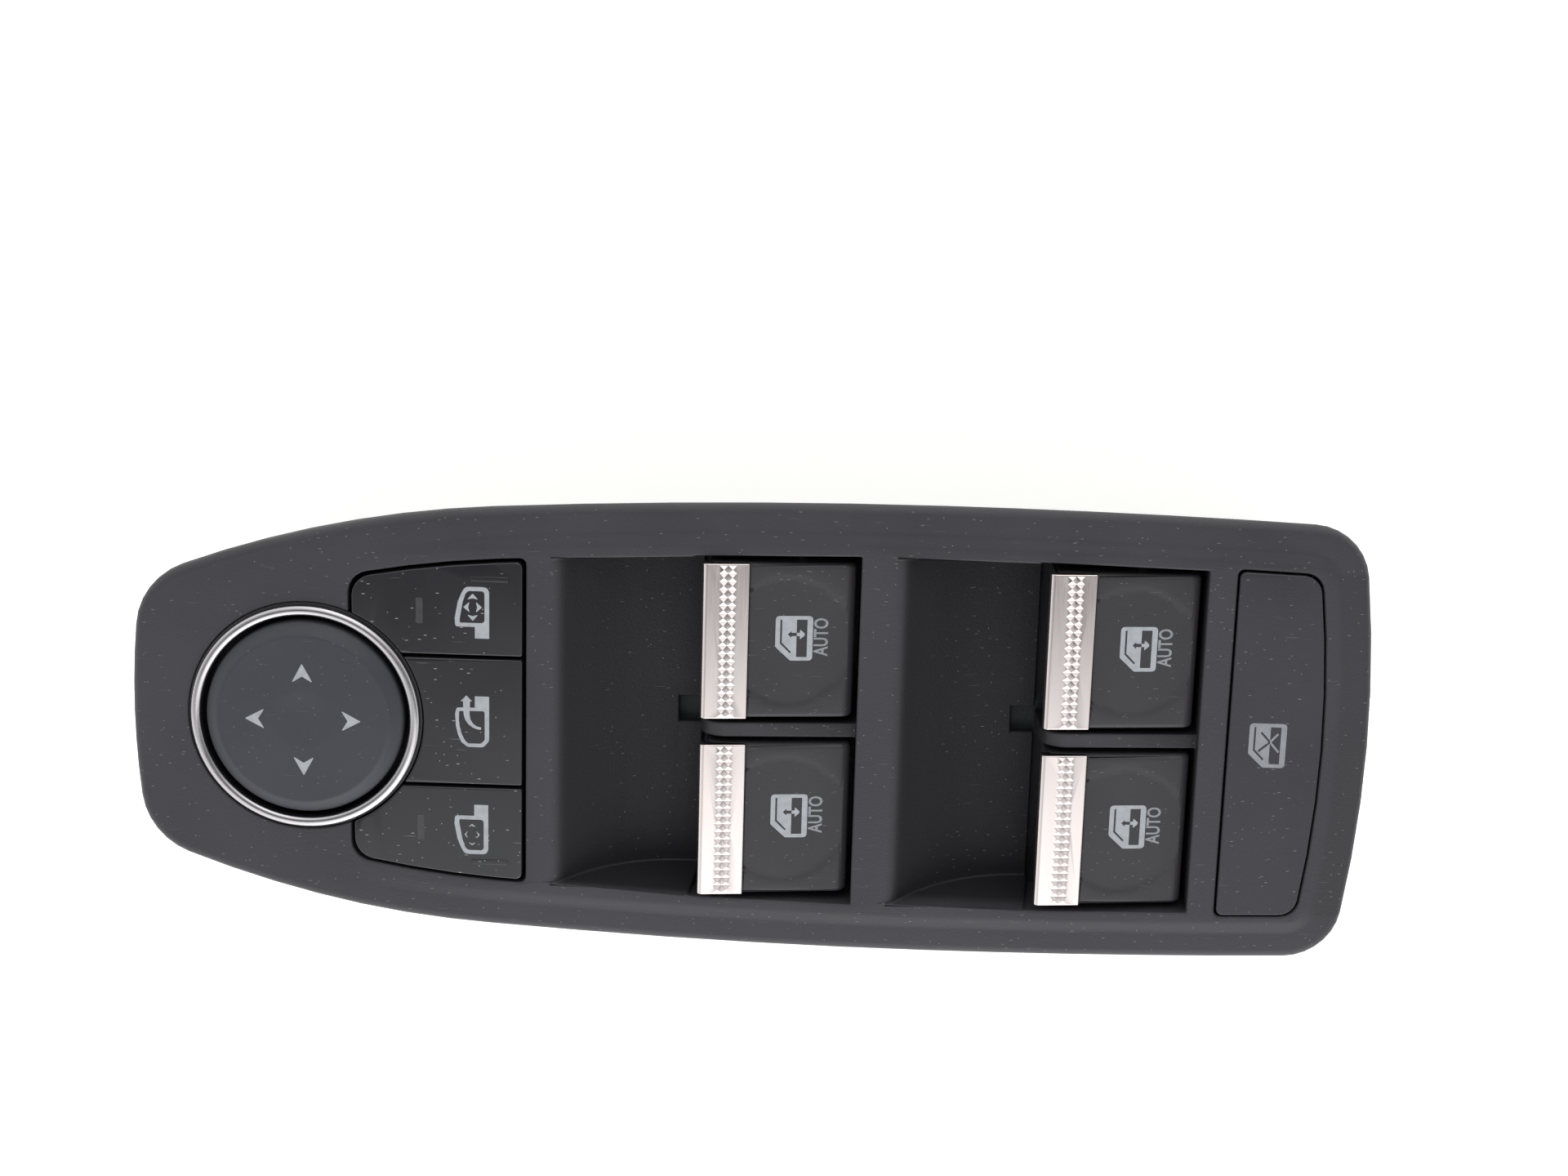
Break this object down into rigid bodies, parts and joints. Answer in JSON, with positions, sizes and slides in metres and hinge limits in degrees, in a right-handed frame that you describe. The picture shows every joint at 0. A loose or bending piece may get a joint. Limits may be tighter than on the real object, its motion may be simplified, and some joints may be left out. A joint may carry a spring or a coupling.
{
  "type": "power window switch",
  "caption": "Driver's door switch panel with rocking window switches in scooped finger pockets, a tilting mirror pad and push buttons.",
  "frame": {"origin": "middle of the flat underside, below the middle of the panel's outline", "axes": "+Z out of the face, +X along the panel from the mirror pad to the lock button, +Y towards the right-hand switches"},
  "size_m": [0.2006, 0.0752, 0.0341],
  "materials": {
    "panel_plastic": "fine textured, matte",
    "button_plastic": "fine textured, soft matte",
    "pad_plastic": "soft matte",
    "rocker_plastic": "soft satin",
    "lip_metal": "satin, knurled",
    "ring_metal": "satin chrome",
    "gimbal_plastic": "natural",
    "case_plastic": "moulded, matte",
    "connector_plastic": "moulded",
    "board_laminate": "solder mask",
    "silicone": "matte silicone",
    "pin_brass": "plated",
    "steel": "plain steel",
    "clear_guide": "clear",
    "led_body": "plain",
    "chip_body": "moulded"
  },
  "bodies": {
    "panel": {"bezel": "panel_plastic", "mirror_ring": "ring_metal", "rocker_axles": "steel", "switch_housing": "case_plastic", "base_cover": "case_plastic", "circuit_board": "board_laminate", "dome_mat": "silicone", "connector_header": "connector_plastic", "connector_pins": "pin_brass", "case_screws": "steel", "light_guide": "clear_guide", "board_leds": "led_body", "controller_chip": "chip_body"},
    "gimbal": {"mirror_pad_gimbal": "gimbal_plastic"},
    "mirror_pad": {"mirror_pad": "pad_plastic"},
    "mirror_left_button": {"mirror_left_button": "button_plastic"},
    "mirror_fold_button": {"mirror_fold_button": "button_plastic"},
    "mirror_right_button": {"mirror_right_button": "button_plastic"},
    "window_lock_button": {"window_lock_button": "button_plastic"},
    "rocker_front_left": {"rocker_front_left": "rocker_plastic", "lip_front_left": "lip_metal"},
    "rocker_front_right": {"rocker_front_right": "rocker_plastic", "lip_front_right": "lip_metal"},
    "rocker_rear_left": {"rocker_rear_left": "rocker_plastic", "lip_rear_left": "lip_metal"},
    "rocker_rear_right": {"rocker_rear_right": "rocker_plastic", "lip_rear_right": "lip_metal"}
  },
  "joints": [
    {"name": "mirror_tilt_up_down", "type": "hinge", "parent": "panel", "child": "gimbal", "pos_m": [-0.072, 0, 0.025], "axis": [1, 0, 0], "range_deg": [-3.5, 3.5], "stiffness_Nm_per_rad": 0.5},
    {"name": "mirror_tilt_side", "type": "hinge", "parent": "gimbal", "child": "mirror_pad", "pos_m": [-0.072, 0, 0.025], "axis": [0, 1, 0], "range_deg": [-3.5, 3.5], "stiffness_Nm_per_rad": 0.5},
    {"name": "mirror_left_button_press", "type": "slide", "parent": "panel", "child": "mirror_left_button", "axis": [0, 0, -1], "range_m": [0, 0.0012], "stiffness_N_per_m": 1500},
    {"name": "mirror_fold_button_press", "type": "slide", "parent": "panel", "child": "mirror_fold_button", "axis": [0, 0, -1], "range_m": [0, 0.0012], "stiffness_N_per_m": 1500},
    {"name": "mirror_right_button_press", "type": "slide", "parent": "panel", "child": "mirror_right_button", "axis": [0, 0, -1], "range_m": [0, 0.0012], "stiffness_N_per_m": 1500},
    {"name": "window_lock_button_press", "type": "slide", "parent": "panel", "child": "window_lock_button", "axis": [0, 0, -1], "range_m": [0, 0.0012], "stiffness_N_per_m": 1500},
    {"name": "rocker_front_left_tilt", "type": "hinge", "parent": "panel", "child": "rocker_front_left", "pos_m": [0.008, -0.015, 0.023], "axis": [0, 1, 0], "range_deg": [-7, 7], "stiffness_Nm_per_rad": 0.4},
    {"name": "rocker_front_right_tilt", "type": "hinge", "parent": "panel", "child": "rocker_front_right", "pos_m": [0.008, 0.015, 0.023], "axis": [0, 1, 0], "range_deg": [-7, 7], "stiffness_Nm_per_rad": 0.4},
    {"name": "rocker_rear_left_tilt", "type": "hinge", "parent": "panel", "child": "rocker_rear_left", "pos_m": [0.06325, -0.015, 0.023], "axis": [0, 1, 0], "range_deg": [-7, 7], "stiffness_Nm_per_rad": 0.4},
    {"name": "rocker_rear_right_tilt", "type": "hinge", "parent": "panel", "child": "rocker_rear_right", "pos_m": [0.06325, 0.015, 0.023], "axis": [0, 1, 0], "range_deg": [-7, 7], "stiffness_Nm_per_rad": 0.4}
  ]
}
